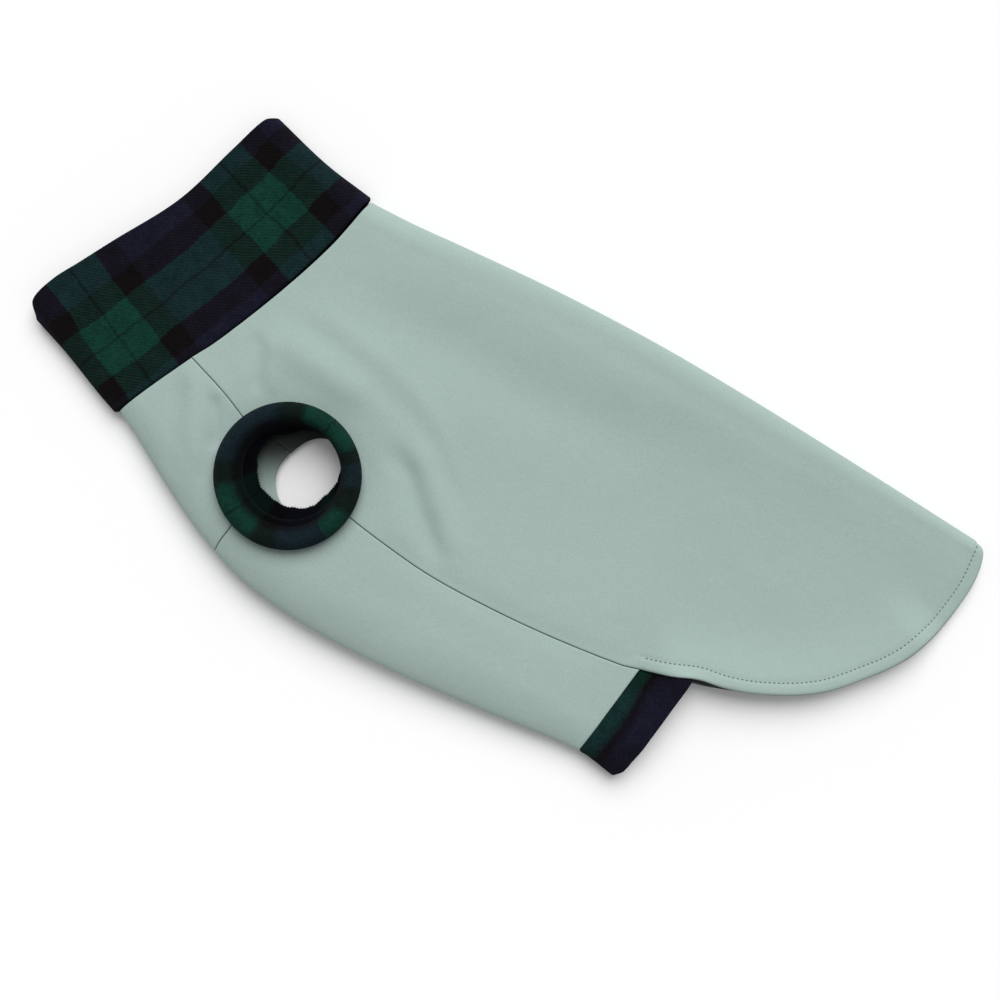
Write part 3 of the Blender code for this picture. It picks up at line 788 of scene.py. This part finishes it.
def stitch_places():
    """Plan points of the hem's stitches, and each one's direction."""
    path = stitch_path()
    length = travelled(path)
    at = np.arange(STITCH_PITCH, length[-1], STITCH_PITCH)
    places = np.stack([np.interp(at, length, path[:, k]) for k in (0, 1)], axis=-1)
    return places, unit(np.gradient(places, axis=0))


def surface(side, plan, offset):
    """Points this far above the back panel's mid thickness, and the upward normals there."""
    here, east, north = (on_cloth(SHELL, side, plan + by) for by in ((0, 0), (0.5, 0), (0, 0.5)))
    n = unit(np.cross(east - here, north - here))
    return here + n * offset, n


def tubes(name, lines, sideways, upward, girths):
    """One mesh of round tubes, with a row of points for each tube and a girth for each point."""
    count, rings = lines.shape[:2]
    angle = all_round(TUBE_SIDES)[:, None]
    around = np.cos(angle) * sideways[:, :, None] + np.sin(angle) * upward[:, :, None]
    verts = lines[:, :, None] + around * girths[:, None, None]
    index = np.arange(count * rings * TUBE_SIDES).reshape(count, rings, TUBE_SIDES)
    faces = []
    for tube in index:
        faces += quads(tube, True, False).tolist()
        faces += [tube[0].tolist(), tube[-1, ::-1].tolist()]
    return link(name, new_mesh(name, verts, faces))


def hem_stitches():
    """Short rounded stitches, sunk at their ends, on both faces of both halves."""
    plan, run = stitch_places()
    t = np.linspace(-1, 1, STITCH_RINGS)
    bottom = HALF_SHELL - STITCH_DIP
    lines, across, ups = [], [], []
    for side, offset in (
        (NEAR, bottom + HEM_RAISE + THREAD / 4),
        (NEAR, HEM_RAISE - bottom - HEM_EXTRA - THREAD / 4),
        (FAR, bottom + HEM_EXTRA + THREAD / 4),
        (FAR, -bottom),
    ):
        here, n = surface(side, plan, offset)
        n = n * math.copysign(1, offset)
        ahead = np.concatenate([run, np.zeros((len(run), 1))], axis=1)
        ahead = unit(ahead - n * (ahead * n).sum(axis=1, keepdims=True))
        sunk = -STITCH_SINK * t[:, None] ** 2
        thread_run = ahead[:, None] * t[:, None] * STITCH_LENGTH / 2
        lines.append(here[:, None] + thread_run + n[:, None] * sunk)
        across.append(np.repeat(np.cross(n, ahead)[:, None], STITCH_RINGS, axis=1))
        ups.append(np.repeat(n[:, None], STITCH_RINGS, axis=1))
    girths = THREAD / 2 * np.clip(1 - t**2, 0.02, 1) ** 0.3
    lines, across, ups = (np.concatenate(part) for part in (lines, across, ups))
    return tubes("hem_stitches", lines, across, ups, girths)


# ---- tartan pieces, with each point's place in the sett as its UV

def in_sett(table, at):
    return np.interp(at, column(table, "at"), column(table, "sett"))


def collar():
    back, front = (
        whole_grid(patch, rows_apart=2.0, columns_apart=2.2, far_apart=2.6)
        for patch in collar_patches()
    )
    points = np.concatenate([back.points, front.points[:, ::-1][:, 1:-1]], axis=1)
    side_line = back.points.shape[1] - 1

    ring = np.concatenate([points, points[:, :1]], axis=1)
    east, north = (ring[..., k] - STRIPE_CENTRE[k] for k in (0, 1))
    radius = np.hypot(east, north)
    steps = np.linalg.norm(np.diff(ring, axis=1), axis=-1)
    sideways = np.sqrt(np.maximum(steps**2 - np.diff(radius, axis=1) ** 2, 0))
    length = sums(sideways, axis=1)
    at_side = slice(side_line, side_line + 1)
    bearing = np.arctan2(north[:, at_side], east[:, at_side])
    round_it = bearing * STRIPE_RADIUS - (length - length[:, at_side]) * STRIPE_RADIUS / radius
    cloth = np.stack([round_it - BLOCK_AT, radius - STRIPE_RADIUS], axis=-1)
    layers = {"sett": cloth / (1, ACROSS_SCALE), "cloth": cloth}
    return wall("collar_cloth", points, -1, HALF_TRIM, HALF_TRIM, True, layers)


def band():
    grid = whole_grid(band_patch(), rows_apart=1.6, columns_apart=2.0, far_apart=3.0, roll_steps=8)
    points = grid.points
    out, up = travelled(points), travelled(points, axis=1)
    down = up[:, -1:] - up
    sett = np.stack([in_sett(BAND_ALONG, down), in_sett(BAND_ACROSS, out)], axis=-1)
    layers = {"sett": sett, "cloth": np.stack([down, out], axis=-1)}
    return wall("belly_band_cloth", points, -1, HALF_TRIM, HALF_TRIM, False, layers)


def ring_points(hole, angle, radius, z, shift_x=0, shift_y=0):
    """Rings of points about an armhole, by row and column."""
    radius, shift_x, shift_y = (np.reshape(value, (-1, 1)) for value in (radius, shift_x, shift_y))
    x = hole.x + shift_x + radius * np.cos(angle)
    y = hole.y + shift_y + radius * np.sin(angle)
    return np.stack([x, y, np.broadcast_to(z, x.shape)], axis=-1)


def cuff_layers(angle, length, radius):
    """Places in the sett and in the cloth, round and across a cuff."""
    turned = np.degrees(np.append(angle, angle[0] + 2 * math.pi)) - math.degrees(CAMERA_TURN)
    turned = (turned - CUFF_SEAM_AT) % 360 + CUFF_SEAM_AT
    turned[-1] = turned[-2] + 360 / len(angle)
    places = {
        "sett": (in_sett(CUFF_ROUND, turned), in_sett(CUFF_ACROSS, length)),
        "cloth": (np.radians(turned) * radius, length),
    }
    return {name: np.stack(np.meshgrid(*place), axis=-1) for name, place in places.items()}


def cuff_relief(bearing, length):
    """Creases and an uneven inner edge on the near cuff: how far out they move its inner wall."""
    along_it = length[:, None]
    relief = np.zeros((len(length), len(bearing)))
    for crease in CUFF_CREASES:
        start, end = (bearing - crease.start) / CREASE_FADE, (crease.end - bearing) / CREASE_FADE
        filled = step(start) * step(end)
        relief += crease.depth * filled * bell(along_it - crease.at, crease.width)
    for wave in CUFF_WAVES:
        swing = np.sin(wave.count * np.radians(bearing) + wave.turn)
        relief += wave.height * swing * (1 - step(along_it / WAVE_FADE))
    return relief


def near_cuff():
    hole = ARMHOLES[NEAR]
    angle = math.radians(CUFF_SEAM_AT) + CAMERA_TURN + PAST_SEAM + all_round(CUFF_COLUMNS)
    places = travelled(np.array([(ring.radius, ring.rise) for ring in NEAR_CUFF]))
    length = shares(places[-1], CUFF_ROWS_APART, TRIM_THICK, True, True) * places[-1]
    profile = {name: smooth(places, column(NEAR_CUFF, name), length) for name in Ring._fields}
    z = on_cloth(SHELL, NEAR, ring_points(hole, angle, hole.seam_radius, 0))[..., 2]
    z = z + profile.pop("rise")[:, None]
    points = ring_points(hole, angle, z=z, **profile)
    outward = np.stack([np.cos(angle), np.sin(angle), 0 * angle], axis=-1)
    bearing = (np.degrees(angle) - math.degrees(CAMERA_TURN)) % 360
    hang = bell(bearing - HANG_AT, HANG_WIDTH) * (1 - step(length / HANG_FADE))[:, None]
    points += outward * (cuff_relief(bearing, length) - HANG_IN * hang)[..., None]
    points[..., 2] -= HANG_DOWN * hang
    layers = cuff_layers(angle, length, hole.seam_radius)
    cuff = wall("near_cuff_cloth", points, -1, HALF_TRIM, HALF_TRIM, True, layers)
    return cuff, points


def far_cuff():
    hole = ARMHOLES[FAR]
    angle = math.radians(CUFF_SEAM_AT) + all_round(CUFF_COLUMNS)
    wide = FAR_CUFF_TO - FAR_CUFF_FROM
    length = shares(wide, CUFF_ROWS_APART, TRIM_THICK, True, True) * wide
    points = ring_points(hole, angle, FAR_CUFF_FROM + length, HALF_TRIM)
    layers = cuff_layers(angle, length, hole.seam_radius)
    return wall("far_cuff_cloth", points, -1, HALF_TRIM, HALF_TRIM, True, layers)


def cuff_serging(cuff_points):
    """Overlock thread, wound round the near cuff's sewn-in edge."""
    ring = np.concatenate([cuff_points[0], cuff_points[0, :1]])
    inward = unit(cuff_points[SERGE_ROW] - cuff_points[0])
    inward = np.concatenate([inward, inward[:1]])
    turn = np.linspace(0, 1, SERGE_TURNS * SERGE_STEPS + 1)
    place = turn * (len(ring) - 1)
    knots = np.arange(len(ring))
    middle, wall_way = (
        np.stack([np.interp(place, knots, line[:, k]) for k in range(3)], axis=-1)
        for line in (ring, inward)
    )
    run = unit(np.gradient(middle, axis=0))
    through = unit(np.cross(run, wall_way))
    wind = 2 * math.pi * SERGE_TURNS * turn[:, None]
    line = middle + wall_way * (SERGE_WIDE * (1 + np.cos(wind)) - SERGE_OVER)
    line = line + through * SERGE_DEEP * np.sin(wind)
    ahead = unit(np.gradient(line, axis=0))
    sideways = unit(np.cross(ahead, run))
    girths = np.full(len(line), SERGE_THREAD / 2)
    return tubes("cuff_serging", line[None], sideways[None], np.cross(sideways, ahead)[None], girths)


# ---- materials

MIX_FACTOR, MIX_A, MIX_B, MIX_RESULT = 0, 6, 7, 2      # a Mix node's sockets for colours


def add(tree, kind, inputs=(), **settings):
    made = tree.nodes.new("ShaderNode" + kind)
    for name, value in settings.items():
        setattr(made, name, value)
    for name, value in dict(inputs).items():
        if isinstance(value, bpy.types.NodeSocket):
            tree.links.new(value, made.inputs[name])
        else:
            made.inputs[name].default_value = value
    return made


def calc(tree, operation, a, b=0.0):
    return add(tree, "Math", {0: a, 1: b}, operation=operation).outputs[0]


def noise(tree, where, size, detail=2.0, roughness=0.5):
    """Noise from 0 to 1 with features of about this size in metres."""
    inputs = {"Vector": where, "Scale": 1 / size, "Detail": detail, "Roughness": roughness}
    return add(tree, "TexNoise", inputs).outputs["Fac"]


def spread_of(tree, value, low, high):
    """The value, mapped from noise's usual range to this one."""
    inputs = {"Value": value, "From Min": 0.3, "From Max": 0.7, "To Min": low, "To Max": high}
    return add(tree, "MapRange", inputs).outputs["Result"]


def bump(tree, height, depth, under=None):
    inputs = {"Height": height, "Distance": depth, "Strength": 1.0}
    if under:
        inputs["Normal"] = under
    return add(tree, "Bump", inputs).outputs["Normal"]


def blended(tree, factor, a, b):
    sockets = {MIX_FACTOR: factor, MIX_A: a, MIX_B: b}
    return add(tree, "Mix", sockets, data_type="RGBA").outputs[MIX_RESULT]


def multiplied(tree, colour, shade):
    return add(tree, "VectorMath", {0: colour, 1: shade}, operation="MULTIPLY").outputs[0]


def cloth_material(name, finish):
    material = bpy.data.materials.new(name)
    material.use_nodes = True
    shader = material.node_tree.nodes["Principled BSDF"]
    for socket, value in (
        ("Roughness", finish.roughness), ("Specular IOR Level", finish.specular),
        ("Sheen Weight", finish.sheen), ("Sheen Roughness", finish.sheen_roughness),
        ("Sheen Tint", (*finish.sheen_tint, 1)),
    ):
        shader.inputs[socket].default_value = value
    return material, material.node_tree, shader


def dressed(tree, shader, colour, normal):
    tree.links.new(colour, shader.inputs["Base Color"])
    tree.links.new(normal, shader.inputs["Normal"])


def uneven(tree, factor, colour, dark, light):
    """The colour, between these two shades of it."""
    return blended(tree, factor, *([c * shade for c in colour] + [1] for shade in (dark, light)))


def softshell(name):
    """Bonded woven face: matte, with a fine grain and slow unevenness."""
    material, tree, shader = cloth_material(name, SOFTSHELL_FINISH)
    where = add(tree, "TexCoord").outputs["Object"]
    slow = spread_of(tree, noise(tree, where, size=0.06), low=0.0, high=1.0)
    colour = uneven(tree, slow, SAGE, dark=0.985, light=1.015)
    grain = noise(tree, where, size=0.0011, detail=3.0, roughness=0.7)
    # Painted shade: the light attribute darkens the far half in the leg hole and the hem's edges
    light = add(tree, "Attribute", attribute_name="light").outputs["Fac"]
    shade = calc(tree, "MULTIPLY", spread_of(tree, grain, low=0.94, high=1.06), light)
    waves = bump(tree, noise(tree, where, size=0.018), depth=0.0005)
    weave = bump(tree, noise(tree, where, size=0.0008, roughness=0.7), depth=0.00012, under=waves)
    dressed(tree, shader, multiplied(tree, colour, shade), weave)
    return material


def uv_places(tree, layer):
    uv = add(tree, "SeparateXYZ", {0: add(tree, "UVMap", uv_map=layer).outputs["UV"]})
    return uv.outputs["X"], uv.outputs["Y"]


def sett_colour(tree, place, fade):
    """Square root of the thread colour at a place in the sett: line, green, black, then navy."""
    ramp = add(tree, "ValToRGB", {"Fac": calc(tree, "DIVIDE", place, SETT / 2 * MM)})
    elements = ramp.color_ramp.elements
    elements.remove(elements[1])
    starts = column(SETT_BANDS, "start") + [SETT / 2]
    for k, row in enumerate(SETT_BANDS):
        half = min(fade, 0.7 * (starts[k + 1] - row.start)) / 2
        before = min(fade, 0.7 * (row.start - starts[k - 1])) / 2 if k else 0
        for at in (row.start + min(before, half) * (k > 0), starts[k + 1] - half):
            element = elements[0] if at == 0 else elements.new(at / (SETT / 2))
            element.color = (*[c**0.5 for c in row.colour], 1)
    return ramp.outputs["Color"]


def tartan(name, weave):
    """Brushed twill: each point shows its warp or its weft colour, in fine diagonal lines."""
    material, tree, shader = cloth_material(name, TARTAN_FINISH)
    where = add(tree, "TexCoord").outputs["Object"]
    around, across = uv_places(tree, "sett")
    colours = []
    for place, thread_size in ((around, 0.0021), (across, 0.0017)):
        stray = noise(tree, where, size=thread_size)
        stray = spread_of(tree, stray, low=-weave.fray * MM, high=weave.fray * MM)
        wander = noise(tree, where, size=WANDER_SIZE * thread_size / 2, detail=1.0)
        wander = spread_of(tree, wander, low=-WANDER * MM, high=WANDER * MM)
        frayed = calc(tree, "ADD", calc(tree, "ADD", place, stray), wander)
        folded = calc(tree, "PINGPONG", frayed, SETT / 2 * MM)
        colours.append(sett_colour(tree, folded, weave.fade))
    along_it, across_it = uv_places(tree, "cloth")
    diagonal = calc(tree, "SUBTRACT", along_it, across_it)
    stray = spread_of(tree, noise(tree, where, size=0.004), low=-0.0003, high=0.0003)
    diagonal = calc(tree, "ADD", diagonal, stray)
    twill = calc(tree, "SINE", calc(tree, "DIVIDE", diagonal, TWILL_PITCH * MM / (2 * math.pi)))
    share = calc(tree, "ADD", calc(tree, "MULTIPLY", twill, weave.twill), weave.balance)
    mixed = blended(tree, share, colours[0], colours[1])
    woven = add(tree, "Gamma", {"Color": mixed, "Gamma": 2.0}).outputs["Color"]
    nap = noise(tree, where, size=0.0016, detail=4.0, roughness=0.65)
    brushed = spread_of(tree, noise(tree, where, size=0.007), low=0.86, high=1.14)
    shade = calc(tree, "MULTIPLY", spread_of(tree, nap, low=0.72, high=1.28), brushed)
    # Painted shade: towards a cuff's inner edge its colour darkens from its tone to weave.inside,
    # standing in for the shadow inside the leg hole
    inputs = {
        "Value": across_it, "From Min": DARK_TO * MM, "From Max": LIGHT_FROM * MM,
        "To Min": weave.inside, "To Max": weave.tone,
    }
    depth = add(tree, "MapRange", inputs, interpolation_type="SMOOTHSTEP").outputs["Result"]
    shade = calc(tree, "MULTIPLY", shade, depth)
    ribbed = bump(tree, twill, depth=TWILL_RIB * weave.twill, under=bump(tree, nap, depth=0.0009))
    dressed(tree, shader, multiplied(tree, woven, shade), ribbed)
    return material


def thread(name, colour, finish):
    material, tree, shader = cloth_material(name, finish)
    where = add(tree, "TexCoord").outputs["Object"]
    plied = spread_of(tree, noise(tree, where, size=0.0007), low=0.0, high=1.0)
    fibres = noise(tree, where, size=0.0003, detail=1.0)
    tinted = uneven(tree, plied, colour, dark=0.8, light=1.15)
    dressed(tree, shader, tinted, bump(tree, fibres, depth=0.00005))
    return material


# ---- stage, light and camera

def floor():
    corners = np.array([(-1, -1, 0), (1, -1, 0), (1, 1, 0), (-1, 1, 0)]) * FLOOR_SIDE / 2
    plane = link("floor", new_mesh("floor", corners, [(0, 1, 2, 3)]))
    material, _, shader = cloth_material("floor_paper", PAPER_FINISH)
    shader.inputs["Base Color"].default_value = (*[FLOOR_TONE] * 3, 1)
    plane.data.materials.append(material)


def lights():
    world = bpy.data.worlds.new("studio")
    world.use_nodes = True
    background = world.node_tree.nodes["Background"].inputs
    background["Color"].default_value = (1, 1, 1, 1)
    background["Strength"].default_value = FILL
    bpy.context.scene.world = world
    sun = bpy.data.lights.new("key", "SUN")
    sun.energy, sun.angle = KEY, math.radians(KEY_ANGLE)
    link("key", sun).rotation_euler = (0, math.radians(90 - KEY_HEIGHT), math.radians(KEY_FROM))


def camera():
    data = bpy.data.cameras.new("camera")
    data.lens = data.sensor_width * CAMERA_DISTANCE / (PHOTO_SIDE * PHOTO_SCALE)
    data.clip_start, data.clip_end = CAMERA_CLIP
    view = link("camera", data)
    view.location = [c * MM for c in (*CAMERA_OVER, CAMERA_DISTANCE + FOLD_LEVEL)]
    view.rotation_euler = (0, 0, CAMERA_TURN)
    bpy.context.scene.camera = view


# ---- the coat

def joined(piece, node, material):
    piece.data.materials.append(material)
    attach(piece, "root")
    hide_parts(node)
    return piece


def coat():
    sage = softshell("softshell_face")
    cuff_plaid = tartan("tartan_cuff", CUFF_WEAVE)
    sage_thread = thread("sage_thread", SAGE_THREAD, SAGE_THREAD_FINISH)
    navy_thread = thread("navy_thread", NAVY_THREAD, NAVY_THREAD_FINISH)
    stitch = joined(hem_stitches(), "back_panel", sage_thread)
    back = joined(back_panel(), "back_panel", sage)
    chest = joined(panel("chest_cloth", chest_patch(), -1), "chest_panel", sage)
    belly = joined(panel("belly_cloth", belly_patch(), -1), "belly_panel", sage)
    band_piece = joined(band(), "belly_band", tartan("tartan_band", BAND_WEAVE))
    neck = joined(collar(), "collar", tartan("tartan_collar", COLLAR_WEAVE))
    cuff, cuff_points = near_cuff()
    joined(cuff, "near_cuff", cuff_plaid)
    serging = joined(cuff_serging(cuff_points), "near_cuff", navy_thread)
    under = joined(far_cuff(), "far_cuff", cuff_plaid)


coat()
floor()
lights()
camera()
bpy.context.scene.view_settings.view_transform = "Standard"
